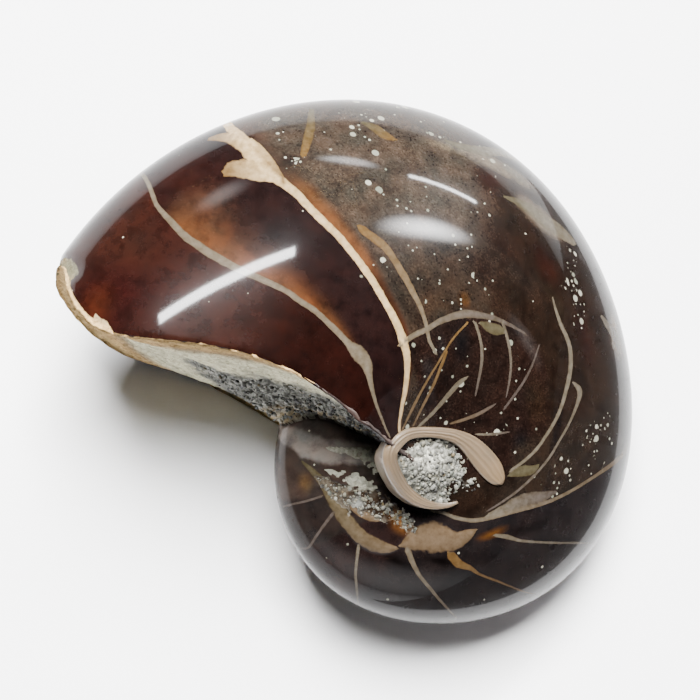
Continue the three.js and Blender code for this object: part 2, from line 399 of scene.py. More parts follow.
def patch(at_angle, at_place, length, width, turned=0.0, crisp=0.0):
    """A soft oval on both flanks, with its half-length along growth and half-width across in millimetres."""
    a, p = float(at_angle), float(at_place)
    per_degree = np.linalg.norm(coil_point(a + 0.5, p) - coil_point(a - 0.5, p))
    per_place = np.linalg.norm(coil_point(a, p + 0.01) - coil_point(a, p - 0.01)) / 0.02
    x, y = (angle - a) * per_degree, (side - p) * per_place
    c, s = math.cos(math.radians(turned)), math.sin(math.radians(turned))
    away = np.hypot((x * c + y * s) / length, (y * c - x * s) / width)
    return 1 - smooth_step(away, crisp, 1.35)


def before(rows, soft=0.6):
    """1 on the older side of a septum, 0 on the newer side; the septum's angle is read at each place."""
    line = np.array(sorted((p, a) for a, p, w in rows))
    return 1 - smooth_step(angle - np.interp(side, line[:, 0], line[:, 1]), -soft, soft)


def older_by(rows):
    """Degrees by which each vertex lies behind a septum."""
    line = np.array(sorted((p, a) for a, p, w in rows))
    return np.interp(side, line[:, 0], line[:, 1]) - angle


lay((0.0056, 0.0015, 0.0014), patch(-6, 0.36, 14, 8))
lay((0.0130, 0.0035, 0.0017), patch(-0.5, 0.33, 4.5, 3.0))
lay((0.0077, 0.0031, 0.0022), patch(-12, 0.3, 6, 9))
lay((0.0036, 0.0011, 0.0008), smooth_step(side, 0.62, 0.85) * (1 - before(S1)))
past_1, past_2, past_3 = before(S1), before(S2), before(S3)
lay((0.0037, 0.0018, 0.0017), past_1)
lay((0.0074, 0.0025, 0.0019), past_1 * patch(-25.5, 0.25, 6, 5))
lay((0.0161, 0.0081, 0.0050), past_1 * patch(-22.5, 0.4, 5, 4.5))
glow = np.exp(-((older_by(S1) * 0.75 / np.interp(side, [0.3, 0.5, 0.75, 0.95], [2.2, 4.2, 2.8, 1.2])) ** 2))
glow = glow * smooth_step(side, 0.3, 0.42) * (1 - smooth_step(side, 0.86, 1.0))
lay((0.0298, 0.0124, 0.0048), past_1 * (1 - past_2) * glow)
lay((0.0118, 0.0081, 0.0059), past_2)
warm = np.exp(-((older_by(S2) * 0.7 / np.interp(side, [0.4, 0.55, 0.7, 0.95], [1.2, 3.4, 3.6, 1.8])) ** 2))
warm = warm * smooth_step(side, 0.44, 0.54) * (1 - smooth_step(side, 0.8, 0.92))
lay((0.0372, 0.0167, 0.0065), past_2 * warm)
near_navel = smooth_step(side, 0.74, 0.84) * (1 - smooth_step(side, 1.2, 1.5))
lay((0.0118, 0.0046, 0.0021), past_2 * (1 - past_3) * near_navel)
lay((0.0112, 0.0086, 0.0086), patch(-49.3, 0.80, 1.2, 2.4))
silt = past_2 * smooth_step(older_by(S2) * 0.7, 1.5, 4.0) * (1 - smooth_step(angle * -1, 74, 92))
lay((0.0150, 0.0124, 0.0096), silt)
lay((0.0077, 0.0057, 0.0041), silt * smooth_step(side, 0.6, 0.9))
lay((0.0048, 0.0040, 0.0037), patch(-40.8, 0.415, 2.0, 1.6))
old = smooth_step(-angle, 74, 90)
lay((0.0047, 0.0030, 0.0021), old)
lay((0.0055, 0.0020, 0.0014), patch(-82, 0.46, 3.0, 2.6) + patch(-101, 0.61, 4.0, 3.0))
lay((0.0062, 0.0045, 0.0035), patch(-92, 0.72, 7, 2.4))
lay((0.0285, 0.0124, 0.0037), patch(-72.5, 0.885, 1.1, 1.3))
lay((0.0065, 0.0048, 0.0031), patch(-108, 0.68, 3.0, 1.2))
lay((0.0061, 0.0022, 0.0016), patch(-126, 0.62, 5.0, 2.4))
lay((0.0330, 0.0290, 0.0200), patch(-79, 0.37, 7.5, 1.3, 3, 0.5) + patch(-88, 0.345, 5.0, 1.6, 6, 0.5))
lay((0.0420, 0.0360, 0.0260), patch(-96.5, 0.455, 4.6, 2.0, 8, 0.6) + patch(-131.5, 0.36, 3.4, 2.2, 0, 0.6))
lay((0.0069, 0.0047, 0.0033), patch(-141, 0.6, 8.0, 3.0))
lay((0.0080, 0.0062, 0.0048), 0.75 * patch(-69, 0.78, 8, 6))
arc = np.array(sorted((-a, p) for a, p, w in ARC))
arc = np.vstack([arc, [(115, 0.85), (140, 0.9), (165, 1.1)]])
inner = smooth_step(side - np.interp(-angle, arc[:, 0], arc[:, 1]), -0.01, 0.02)
inner = inner * smooth_step(-angle, 38, 44) * (1 - smooth_step(-angle, 150, 180))
lay((0.0042, 0.0025, 0.0020), inner)
lay((0.0024, 0.0020, 0.0021), patch(-71, 1.06, 1.8, 3.2) + patch(-146, 1.14, 3.4, 1.8))
lay((0.0060, 0.0053, 0.0052), patch(-50, 1.28, 1.2, 3.0) + patch(-60, 1.12, 1.0, 2.4))
lay((0.0058, 0.0035, 0.0022), patch(-128, 0.95, 4.0, 2.6))
lay((0.0124, 0.0110, 0.0104), patch(-104, 0.875, 4.6, 1.1, -6))
back = np.array(sorted((-a, p) for a, p, w in S5))
base = smooth_step(side - np.interp(-angle, back[:, 0], back[:, 1]), -0.01, 0.03)
past_5 = smooth_step(-angle, 157, 160) * (1 - base * (angle > -262))
lay((0.0038, 0.0032, 0.0033), past_5)
flank = smooth_step(-side, -1.3, -1.1) * (angle > -262)
lay((0.0057, 0.0043, 0.0032), smooth_step(-angle, 140, 150) * (1 - past_5) * flank)
lay((0.0043, 0.0029, 0.0027), past_5 * patch(-205, 0.5, 8, 5))
lay((0.0048, 0.0030, 0.0023), (patch(-86, 0.66, 6.0, 4.0) + patch(-80, 0.78, 4.0, 3.0)) * (1 - inner))
lay((0.0051, 0.0031, 0.0029), smooth_step(-angle, 270, 278) * past_5)
lay((0.0093, 0.0040, 0.0029), patch(-279, 0.1, 3.5, 2.4))
lay((0.0056, 0.0047, 0.0043), smooth_step(-angle, 297, 300) * past_5)
lay((0.0136, 0.0105, 0.0087), smooth_step(-angle, 317, 320) * past_5)
lay((0.0260, 0.0180, 0.0087), patch(-325.2, 0.39, 1.6, 1.3))
shade = patch(-270, 0.67, 3.2, 0.8, 4) + patch(-247, 0.765, 3.6, 0.7, -4) + patch(-194, 0.8, 3.6, 1.3, -30)
lay((0.0008, 0.0006, 0.0006), shade)
lay((0.0009, 0.0007, 0.0008), patch(-146, 0.868, 5.2, 0.8, -18))
lay((0.0347, 0.0143, 0.0031), patch(-212, 0.91, 2.4, 0.7))
lay((0.0347, 0.0155, 0.0043), patch(-281, 0.9, 2.4, 1.2))
wander = np.array([noise.noise(Vector(p) * 0.35) for p in spot])
fret = np.array([noise.noise(Vector(p) * 1.6) for p in spot])
marble_line = [(-350, -0.15, 1.0), (-344.5, 0.215, 1.4), (-341.5, 0.475, 1.6), (-342.5, 0.695, 1.6),
               (-348, 0.9, 1.2)]
marble = 1 - smooth_step(np.abs(beside(marble_line)[0]) + 0.25 * wander + 0.2 * fret, 0.75, 1.3)
lay((0.0260, 0.0210, 0.0195), smooth_step(-angle, 338, 346) * smooth_step(side, 0.05, 0.3))
lay((0.0700, 0.0670, 0.0610), marble * (angle < -180))

# The silt's speckle, the loose pale grains, and the rough stone, each from 0 to 1.
speckle = np.clip(silt * 0.8 + 0.3 * old + inner * 0.4 + 0.12, 0, 1) * (1 - past_5 * 0.9)
grains = 0.006 + 0.07 * silt + 0.05 * inner
for share, *oval in (
    (1.2, -107.5, 0.46, 3.0, 2.2), (1.2, -112.5, 0.55, 3.4, 2.4), (1.2, -118, 0.6, 3.2, 2.0),
    (0.8, -165, 0.8, 4.6, 2.2), (0.8, -160, 0.66, 4.6, 3.6), (0.56, -154, 0.6, 4.0, 3.6),
    (0.8, -41.5, 0.42, 1.6, 1.0), (0.8, -128, 1.36, 1.2, 1.6), (0.8, -118, 1.46, 0.9, 0.8),
    (0.35, -82, 0.33, 3.6, 2.0), (0.35, -181, 0.93, 3.4, 1.2), (0.35, -60, 0.3, 4, 2),
):
    grains = grains + share * patch(*oval)
grains = np.clip(grains, 0, 1)
pit_line = [(-327.0, 0.5, 0.4), (-321.2, 0.615, 1.1), (-315.5, 0.705, 1.7), (-308.8, 0.805, 2.0),
            (-298.8, 0.9, 1.9), (-284.5, 0.94, 1.3), (-271.8, 0.93, 0.8)]
pit = 1 - smooth_step(np.abs(beside(pit_line)[0]) + 0.55 * wander + 0.5 * fret, 0.8, 1.1)
chalk_lines = (
    [(-343.0, 0.585, 0.3), (-344.0, 0.73, 0.6), (-344.8, 0.86, 1.1), (-341.2, 0.96, 1.0),
     (-332.8, 0.93, 0.4)],
    [(-331.0, 0.58, 0.3), (-329.0, 0.665, 0.7), (-325.0, 0.745, 1.1), (-321.5, 0.825, 0.86),
     (-317.8, 0.9, 0.3)],
)
from_chalk = np.minimum(*(np.abs(beside(rows)[0]) for rows in chalk_lines)) + 0.9 * fret + 0.5 * wander
chalk = (1 - smooth_step(from_chalk, 0.55, 1.15)) * (angle < -180)

# The rough stone: the mouth, its chipped border, the chip at its tip, and the hollows by the navel.
chip_reach = 0.35 + 1.1 * (1 - smooth_step(side, 0.35, 0.5)) + 0.5 * wander + 0.35 * fret
border = smooth_step(inside, -chip_reach - 0.25, -chip_reach + 0.25) * (angle > -180)
tip_chip = patch(-4.5, 0.06, 2.2, 4.2, 0, 0.6) * (inside < 0.5)
closed = smooth_step(place, 0.84, 0.96)
broken = np.maximum(on_face, border) * (1 - closed)
rough = np.maximum.reduce([broken, tip_chip, pit * (angle < -180), chalk])
lay((0.0420, 0.0370, 0.0350), closed * smooth_step(inside, 0.1, 0.5))

stone_tint = np.tile(np.array([0.085, 0.079, 0.064]), (len(spot), 1))


def stone(colour, amount):
    """Cover the rough stone's colour with another, as lay does."""
    global stone_tint
    amount = np.clip(amount, 0, 1)[:, None]
    stone_tint = stone_tint * (1 - amount) + np.array(colour) * amount


stone((0.120, 0.120, 0.112), on_face)
cream_from, cream_to = across + 0.05 * wander, across + 0.08 * wander
cream_layer = smooth_step(cream_from, 0.16, 0.24) * (1 - smooth_step(cream_to, 0.46, 0.60))
stone((0.430, 0.405, 0.290), on_face * cream_layer)
brown_rim = (1 - smooth_step(across, 0.10, 0.28)) * smooth_step(inside, -3, -0.2)
stone((0.330, 0.215, 0.095), brown_rim * (angle > -180))
stone((0.150, 0.130, 0.070), on_face * smooth_step(-place, 0.62, 0.75) * smooth_step(inside, 2.5, 1.0))
stone((0.085, 0.078, 0.050), tip_chip)
stone((0.150, 0.148, 0.120), chalk)
stone((0.040, 0.033, 0.025), pit * (1 - chalk))
stone((0.016, 0.010, 0.0065), pit * (1 - chalk) * smooth_step(wander + 0.5 * fret, -0.05, 0.2))
stone((0.013, 0.0085, 0.0055), patch(-314, 0.95, 2.2, 1.8) * (1 - chalk))
stone((0.080, 0.036, 0.012), patch(-283, 0.93, 2.0, 1.2))
stone((0.098, 0.100, 0.092), patch(-310, 0.74, 1.3, 1.1))

# Relief: the thick shell by the navel stands a little proud; the rough stone lies back and is uneven.
coarse = on_face * smooth_step(across, 0.52, 0.68) * (1 - closed)
crumble = np.array([noise.noise(Vector(p) * 0.9) + 0.6 * noise.noise(Vector(p) * 2.2) for p in spot])
ledge = np.abs(((inside * 1.3 + 0.5 * wander) % 1.0) - 0.5) * 2
lift = np.zeros(len(spot))
for rows in (WALL, FIN):
    lift = lift + 0.16 * np.sqrt(np.clip(1 - np.clip(np.abs(beside(rows)[0]), 0, 1) ** 2, 0, 1))
lift = lift - pit * (0.45 + 0.3 * crumble) - chalk * (0.1 + 0.16 * crumble)
near_rim = 1 - smooth_step(inside, 1.5, 4)
lift = lift - on_face * (0.35 + (0.25 + 0.35 * coarse) * crumble + 0.35 * near_rim * (1 - ledge))
lift = lift - border * (1 - on_face) * (0.22 + 0.3 * np.abs(crumble)) - tip_chip * (0.5 + 0.25 * crumble)
low_flat = spot[:, 2] < 0.02
lift = np.where(low_flat, 0, lift - SKIN_IN)
moved = spot + normal * lift[:, None]
centre = (np.array(cad_low) + np.array(cad_high)) / 2 / MM
room = (np.array(cad_high) - np.array(cad_low)) / 2 / MM - 0.02
moved = centre + np.clip(moved - centre, -room, room)
moved[:, 2] = np.where(low_flat, 0, np.maximum(moved[:, 2], 0))
put_points(mesh, moved)
mesh.update()
bpy.ops.object.shade_smooth()

for label, values in (("tint", tint), ("seam_tint", seam_tint), ("stone_tint", stone_tint)):
    layer = mesh.attributes.new(label, "FLOAT_COLOR", "POINT")
    layer.data.foreach_set("color", np.column_stack([values, np.ones(len(spot))]).ravel())
for label, values in (
    ("seams_1", seam[0:3].T),
    ("seams_2", seam[3:6].T),
    ("seams_3", seam[6:9].T),
    ("zones", np.column_stack([speckle, grains, rough])),
    ("relief", np.column_stack([coarse, ledge * on_face * (1 - smooth_step(inside, 2, 5)), pit])),
):
    mesh.attributes.new(label, "FLOAT_VECTOR", "POINT").data.foreach_set("vector", values.ravel())

# The stone's material: polished calcite with septa, silt and grains in it, and dull stone where it broke.
def work_in(node_tree):
    """Every helper below adds its nodes to this tree, reading coordinates of the object."""
    global tree, coordinates
    tree = node_tree
    coordinates = tree.nodes.new("ShaderNodeTexCoord")


def new_material(label, roughness=0.5):
    """A new material that the helpers below then work in, and its shader."""
    made = bpy.data.materials.new(label)
    made.use_nodes = True
    work_in(made.node_tree)
    made_shader = tree.nodes["Principled BSDF"]
    made_shader.inputs["Roughness"].default_value = roughness
    return made, made_shader


def wire(kind, *inputs, **settings):
    """A node with its inputs set or linked in order, skipping those given as None; its first output."""
    made = tree.nodes.new(kind)
    for key, value in settings.items():
        setattr(made, key, value)
    sockets = [s for s in made.inputs if s.enabled]
    for socket, value in zip(sockets, inputs):
        if isinstance(value, bpy.types.NodeSocket):
            tree.links.new(value, socket)
        elif value is not None:
            socket.default_value = value
    return next(s for s in made.outputs if s.enabled)


def maths(operation, *inputs):
    return wire("ShaderNodeMath", *inputs, operation=operation)


def attribute(label, output="Color"):
    made = tree.nodes.new("ShaderNodeAttribute")
    made.attribute_name = label
    return made.outputs[output]


def parts(vector):
    made = tree.nodes.new("ShaderNodeSeparateXYZ")
    tree.links.new(vector, made.inputs[0])
    return made.outputs


def noise_of(scale, detail=3.0, rough_by=0.55):
    made = tree.nodes.new("ShaderNodeTexNoise")
    tree.links.new(coordinates.outputs["Object"], made.inputs["Vector"])
    for label, value in (("Scale", scale), ("Detail", detail), ("Roughness", rough_by)):
        if isinstance(value, bpy.types.NodeSocket):
            tree.links.new(value, made.inputs[label])
        else:
            made.inputs[label].default_value = value
    return made.outputs["Fac"]


def cells(scale):
    made = tree.nodes.new("ShaderNodeTexVoronoi")
    tree.links.new(coordinates.outputs["Object"], made.inputs["Vector"])
    made.inputs["Scale"].default_value = scale
    return made.outputs["Distance"], made.outputs["Color"]


def ramp(value, low, high, out_low=0.0, out_high=1.0):
    return wire("ShaderNodeMapRange", value, low, high, out_low, out_high)


def blend(amount, under, over, kind="MIX"):
    made = tree.nodes.new("ShaderNodeMix")
    made.data_type, made.blend_type = "RGBA", kind
    for socket, value in (("Factor_Float", amount), ("A_Color", under), ("B_Color", over)):
        place_in = next(s for s in made.inputs if s.identifier == socket)
        if isinstance(value, bpy.types.NodeSocket):
            tree.links.new(value, place_in)
        else:
            place_in.default_value = value if isinstance(value, float) else (*value, 1.0)
    return next(s for s in made.outputs if s.identifier == "Result_Color")


def tinted(colour, by):
    return blend(1.0, colour, by, "MULTIPLY")


def uneven_by(height, strength, distance):
    """Give the shader of the material in hand a fine unevenness."""
    bump = tree.nodes.new("ShaderNodeBump")
    bump.inputs["Strength"].default_value = strength
    bump.inputs["Distance"].default_value = distance
    tree.links.new(height, bump.inputs["Height"])
    tree.links.new(bump.outputs[0], tree.nodes["Principled BSDF"].inputs["Normal"])


def new_effect(label, inputs, outputs):
    """A node group that the helpers then work in: its input and output nodes."""
    group = bpy.data.node_groups.new(label, "ShaderNodeTree")
    for kind, name in inputs:
        group.interface.new_socket(name, in_out="INPUT", socket_type="NodeSocket" + kind)
    for kind, name in outputs:
        group.interface.new_socket(name, in_out="OUTPUT", socket_type="NodeSocket" + kind)
    work_in(group)
    return group, tree.nodes.new("NodeGroupInput").outputs, tree.nodes.new("NodeGroupOutput").inputs


def apply_effect(group, **values):
    """The effect placed in the material in hand, with its own values: its outputs."""
    made = tree.nodes.new("ShaderNodeGroup")
    made.node_tree = group
    for name, value in values.items():
        socket = made.inputs[name]
        if isinstance(value, bpy.types.NodeSocket):
            tree.links.new(value, socket)
        else:
            socket.default_value = (*value, 1.0) if isinstance(value, tuple) else value
    return made.outputs


# Mottling: the colour is tinted where a cloud is thick, from low to high.
mottling, given, result = new_effect(
    "mottling",
    [("Color", "colour"), ("Color", "tint")]
    + [("Float", name) for name in ("scale", "detail", "rough_by", "low", "high")],
    [("Color", "colour")],
)
cloud = noise_of(given["scale"], given["detail"], given["rough_by"])
mottled_colour = tinted(given["colour"], given["tint"])
thick = ramp(cloud, given["low"], given["high"])
tree.links.new(blend(thick, given["colour"], mottled_colour), result["colour"])

# Grit: the salt and pepper of coarse sand, each grain tinted on its own, and how far from a grain's middle.
sand_grit, given, result = new_effect(
    "sand_grit",
    [("Color", "colour"), ("Color", "pepper"), ("Color", "salt")],
    [("Color", "colour"), ("Float", "off_middle")],
)
off_middle, own = cells(1500)
dark_grain, pale_grain = tinted(given["colour"], given["pepper"]), tinted(given["colour"], given["salt"])
tree.links.new(blend(parts(own)[0], dark_grain, pale_grain), result["colour"])
tree.links.new(off_middle, result["off_middle"])


def mottled(colour, by, scale, detail, low, high, rough_by=0.55):
    """The colour, mottled with a tint in the material in hand."""
    values = dict(tint=by, scale=scale, detail=detail, rough_by=rough_by, low=low, high=high)
    return apply_effect(mottling, colour=colour, **values)["colour"]


polished, shader = new_material("polished_calcite")
zone = parts(attribute("zones", "Vector"))
fine_cloud, edge_fret = noise_of(1500, 4), noise_of(900, 3)

# The calcite: cloudy, a little redder or blacker from place to place, with a fine dark grain.
colour = attribute("tint")
colour = mottled(colour, (1.7, 1.35, 1.2), 260, 5, 0.35, 0.7)
colour = mottled(colour, (0.5, 0.48, 0.5), 420, 6, 0.45, 0.68, 0.65)
# The silt: packed sand, dark and pale, under the polish.
sand = parts(cells(4200)[1])
silt_colour = blend(ramp(sand[0], 0.55, 1.0), colour, tinted(colour, (1.9, 1.95, 1.9)))
silt_colour = blend(ramp(sand[1], 0.7, 1.0), silt_colour, tinted(colour, (0.35, 0.33, 0.33)))
colour = blend(maths("MULTIPLY", zone[0], 0.75), colour, silt_colour)
# Pale rounded grains, big and small, cut through by the polish.
for scale, size, share in ((640, 0.42, 1.0), (1500, 0.38, 0.7)):
    far, own = cells(scale)
    own = parts(own)
    wanted = maths("LESS_THAN", own[0], maths("MULTIPLY", zone[1], share))
    limit = ramp(own[1], 0.0, 1.0, size * 0.5, size)
    worn_far = maths("ADD", far, maths("MULTIPLY", fine_cloud, 0.12))
    grain = maths("MULTIPLY", wanted, ramp(maths("SUBTRACT", limit, worn_far), -0.06, 0.0))
    pale = blend(own[2], (0.085, 0.088, 0.066), (0.20, 0.19, 0.15))
    colour = blend(grain, colour, pale)
# The septa and the thick shell at the navel: pale, mottled and browner towards a fretted edge.
least = None
for label in ("seams_1", "seams_2", "seams_3"):
    for socket in parts(attribute(label, "Vector")):
        value = maths("ABSOLUTE", socket)
        least = value if least is None else maths("MINIMUM", least, value)
fretted = maths("ADD", least, maths("MULTIPLY", maths("SUBTRACT", edge_fret, 0.5), 0.55))
band = ramp(fretted, 1.0, 0.8)
pale = attribute("seam_tint")
pale = mottled(pale, (0.62, 0.58, 0.5), 1200, 5, 0.35, 0.7)
pale = blend(ramp(least, 0.2, 1.0, 0.0, 0.55), pale, tinted(pale, (0.75, 0.66, 0.52)))
colour = blend(band, colour, pale)
# The rough stone: dull wherever no septum crosses it, except in the hollow.
rough_edge = maths("ADD", zone[2], maths("MULTIPLY", maths("SUBTRACT", edge_fret, 0.5), 0.5))
relief = parts(attribute("relief", "Vector"))
septum_here = maths("MULTIPLY", band, ramp(relief[2], 0.0, 0.5, 1.0, 0.0))
dull_only = maths("MULTIPLY", ramp(rough_edge, 0.42, 0.56), maths("SUBTRACT", 1.0, septum_here))
dry = attribute("stone_tint")
grit = apply_effect(sand_grit, colour=dry, pepper=(0.25, 0.24, 0.22), salt=(2.1, 2.1, 2.0))
dry = blend(ramp(relief[0], 0.0, 1.0, 0.25, 0.95), dry, grit["colour"])
dry = blend(maths("MULTIPLY", relief[1], 0.6), dry, (0.42, 0.30, 0.15))
dry = mottled(dry, (0.45, 0.42, 0.38), 2200, 4, 0.5, 0.75)
colour = blend(dull_only, colour, dry)
tree.links.new(colour, shader.inputs["Base Color"])
smear = ramp(noise_of(700, 4), 0.3, 0.8, 0.22, 0.30)
tree.links.new(wire("ShaderNodeMix", dull_only, smear, 0.85), shader.inputs["Roughness"])
tree.links.new(maths("MULTIPLY", maths("SUBTRACT", 1.0, dull_only), 0.31), shader.inputs["Coat Weight"])
shader.inputs["Coat Roughness"].default_value = 0.05
shader.inputs["Coat IOR"].default_value = 1.4
shader.inputs["IOR"].default_value = 1.5
shader.inputs["Specular IOR Level"].default_value = 0.03
raised = maths("ADD", maths("MULTIPLY", grit["off_middle"], -1.0), noise_of(2600, 3))
uneven_by(maths("MULTIPLY", dull_only, raised), 0.5, 0.0004)
mesh.materials.append(polished)
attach(shell, "root")
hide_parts("nautilus_shell")

# The callus round the navel. A thick ring of shell the animal laid over the navel, cut by the polishing so
# that it stands as a smooth rounded collar. It is part of the same stone; here it is swept along its own
# line, with its foot sunk in the shell.
RING_PATH = np.array([
    (20.48, -18.79, 28.90, 0.57), (19.46, -17.71, 29.42, 1.43), (18.26, -16.36, 30.01, 1.86),
    (16.76, -14.88, 30.67, 1.86), (15.11, -13.56, 31.35, 1.57), (13.30, -12.70, 32.12, 1.14),
    (11.34, -12.29, 32.98, 0.93), (9.07, -12.20, 33.98, 0.79), (6.80, -12.40, 35.05, 0.79),
    (4.79, -12.90, 36.35, 0.86), (3.12, -14.07, 37.51, 1.00), (2.03, -15.43, 38.02, 1.07),
    (2.01, -16.78, 37.49, 1.14), (2.67, -18.05, 36.40, 1.14), (3.67, -19.31, 35.15, 1.07),
    (4.81, -20.43, 33.88, 1.00), (6.39, -21.41, 32.64, 0.86), (8.25, -22.10, 31.46, 0.71),
    (10.22, -22.33, 30.51, 0.51), (12.14, -22.14, 29.82, 0.37), (13.72, -21.62, 29.33, 0.21),
])
RING_HEIGHT, RING_FOOT, GROWTH_RIDGE = 0.45, 3.2, 0.05
RING_STEPS, RING_TOP_ROWS, RING_ROWS = 200, 16, 24
UP = LYING[:, 2]


def resample(knots, count):
    """Evenly numbered points on a smooth curve through the knots."""
    knots = np.vstack([2 * knots[0] - knots[1], knots, 2 * knots[-1] - knots[-2]])
    where = np.linspace(0, len(knots) - 3.000001, count)
    k, t = where.astype(int), (where % 1)[:, None]
    a, b, c, d = knots[k], knots[k + 1], knots[k + 2], knots[k + 3]
    return between(a, b, c, d, t)


callus, step, turn = sheet("navel_callus", RING_STEPS, RING_ROWS)
step = step.astype(int)
path = resample(RING_PATH, RING_STEPS + 1)
end_round = np.sqrt(np.clip(1 - (1 - np.clip(np.arange(RING_STEPS + 1) / 7, 0, 1)) ** 2, 0, 1))
half = np.maximum(path[:, 3] * np.maximum(end_round, 0.02), 0.05)
heading = np.gradient(path[:, :3], axis=0)
heading /= np.linalg.norm(heading, axis=1)[:, None]
sideways = np.cross(heading, UP)
sideways /= np.linalg.norm(sideways, axis=1)[:, None]
upward = np.cross(sideways, heading)
top = turn <= RING_TOP_ROWS
bow = np.where(top, turn / RING_TOP_ROWS * math.pi, 0)
under = np.clip((turn - RING_TOP_ROWS) / (RING_ROWS - RING_TOP_ROWS), 0, 1)
across_ring = np.where(top, np.sign(np.cos(bow)) * np.abs(np.cos(bow)) ** 0.9, -1 + 2 * smooth_step(under))
crown = np.sin(bow) ** 0.75 * np.minimum(RING_HEIGHT, half[step] * 0.55)
height = np.where(top, crown, -RING_FOOT * np.sin(under * math.pi) ** 0.3)
height = height + top * (half[step] > 0.6) * GROWTH_RIDGE * np.sin(across_ring * 9 + step * 0.03)
from_path = sideways[step] * (across_ring * half[step])[:, None] + upward[step] * height[:, None]
ring_point = path[step, :3] + from_path
put_points(callus.data, ring_point)
for label, values in (("across_ring", across_ring), ("along_ring", step / RING_STEPS)):
    callus.data.attributes.new(label, "FLOAT", "POINT").data.foreach_set("value", values.astype(float))
close_sheet(2e-6, fill=True)
bpy.ops.object.shade_smooth()

cream_shell, shader = new_material("callus_shell", 0.42)
ring_across = attribute("across_ring", "Fac")
ring_along = attribute("along_ring", "Fac")
wandering = maths("MULTIPLY", noise_of(300, 3), 5.0)
lines_of_growth = maths("SINE", maths("ADD", maths("MULTIPLY", ring_across, 14.0), wandering))
colour = mottled((0.092, 0.062, 0.036), (0.783, 0.839, 0.917), 380, 4, 0.35, 0.7)
colour = blend(ramp(lines_of_growth, 0.2, 1.0, 0.0, 0.35), colour, (0.118, 0.088, 0.054))
colour = blend(ramp(ring_along, 0.12, 0.0, 0.0, 0.5), colour, (0.100, 0.062, 0.026))
colour = blend(ramp(maths("ABSOLUTE", ring_across), 0.72, 1.0, 0.0, 0.6), colour, (0.060, 0.038, 0.018))
colour = blend(ramp(noise_of(1900, 4), 0.62, 0.78, 0.0, 0.6), colour, (0.045, 0.030, 0.018))
tree.links.new(colour, shader.inputs["Base Color"])
shader.inputs["Coat Weight"].default_value = 0.7
shader.inputs["Coat Roughness"].default_value = 0.12
uneven_by(lines_of_growth, 0.25, 0.0002)
callus.data.materials.append(cream_shell)
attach(callus, "root")
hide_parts("nautilus_shell")

# The plug in the navel. Packed grey sandstone that filled the hollow of the navel before it hardened: an
# uneven bed inside the callus.
PLUG_EDGE = np.array([
    (4.24, -17.37, 35.73), (4.64, -15.67, 35.81), (6.15, -14.38, 34.79), (8.59, -13.45, 33.55),
    (11.49, -13.22, 32.35), (13.84, -14.16, 31.15), (15.52, -15.90, 30.32), (16.90, -17.80, 29.54),
    (17.98, -19.58, 28.84), (16.20, -20.50, 28.81), (13.35, -21.32, 29.03), (10.32, -21.64, 30.04),
    (7.63, -20.99, 31.59), (5.53, -19.41, 33.83),
])
PLUG_CENTRE = np.array([10.72, -17.51, 32.25])
PLUG_SUNK, PLUG_DEPTH = 0.12, 2.4
PLUG_TURNS, PLUG_RINGS = 112, 36
DARK_SPOT = (16.0, -19.0, 29.6)


def plug_point(turn, out):
    """Points on the plug before it is roughened: turn runs round it from 0 to 1, out from its centre to 1."""
    knots = np.vstack([PLUG_EDGE[-1:], PLUG_EDGE, PLUG_EDGE[:2]])
    where = (np.asarray(turn, float) % 1.0) * len(PLUG_EDGE)
    k, t = where.astype(int), (where % 1)[:, None]
    a, b, c, d = knots[k], knots[k + 1], knots[k + 2], knots[k + 3]
    edge = between(a, b, c, d, t)
    edge = edge + (edge - PLUG_CENTRE) * 0.08
    return PLUG_CENTRE + (edge - PLUG_CENTRE) * np.asarray(out)[:, None]


def bed_swell(points):
    """How far the packed sand swells above or sinks below its level, in millimetres."""
    vectors = [Vector(p) for p in points]
    return np.array([noise.noise(p * 0.9) * 0.375 + noise.noise(p * 2.4) * 0.21 for p in vectors])


def away_from(points, middle, reach):
    """Distances from a middle, as shares of the reach in each direction."""
    return np.linalg.norm((points - np.array(middle)) / reach, axis=1)


# Rings of points run out to the edge, then three rows go down the rim and a last one closes the underside.
plug, turn, ring_row = sheet("navel_plug", PLUG_TURNS, PLUG_RINGS + 4)
turn = turn % PLUG_TURNS / PLUG_TURNS
down = np.clip(ring_row - PLUG_RINGS, 0, 4)
bed = plug_point(turn, np.minimum(ring_row / PLUG_RINGS, 1.0) * (down < 4))
bed = bed + UP * (bed_swell(bed) * (down == 0) - PLUG_SUNK - PLUG_DEPTH * np.minimum(down, 3) / 3)[:, None]
put_points(plug.data, bed)
close_sheet(2e-6)
bpy.ops.object.shade_smooth()
bed = read(plug.data.vertices, "co", 3) / MM
lay_dark = np.clip(1 - away_from(bed, DARK_SPOT, np.array([2.6, 2.6, 3])), 0, 1)
lay_pale = np.clip(1.3 - away_from(bed, (8.6, -15.8, 34.0), np.array([3.4, 2.2, 4])), 0, 1)
bed_tint = np.tile([0.082, 0.081, 0.070], (len(bed), 1))
bed_tint = bed_tint + (np.array([0.24, 0.235, 0.20]) - bed_tint) * smooth_step(lay_pale)[:, None]
bed_tint = bed_tint + (np.array([0.013, 0.009, 0.006]) - bed_tint) * smooth_step(lay_dark, 0, 0.5)[:, None]
layer = plug.data.attributes.new("stone_tint", "FLOAT_COLOR", "POINT")
layer.data.foreach_set("color", np.column_stack([bed_tint, np.ones(len(bed_tint))]).ravel())

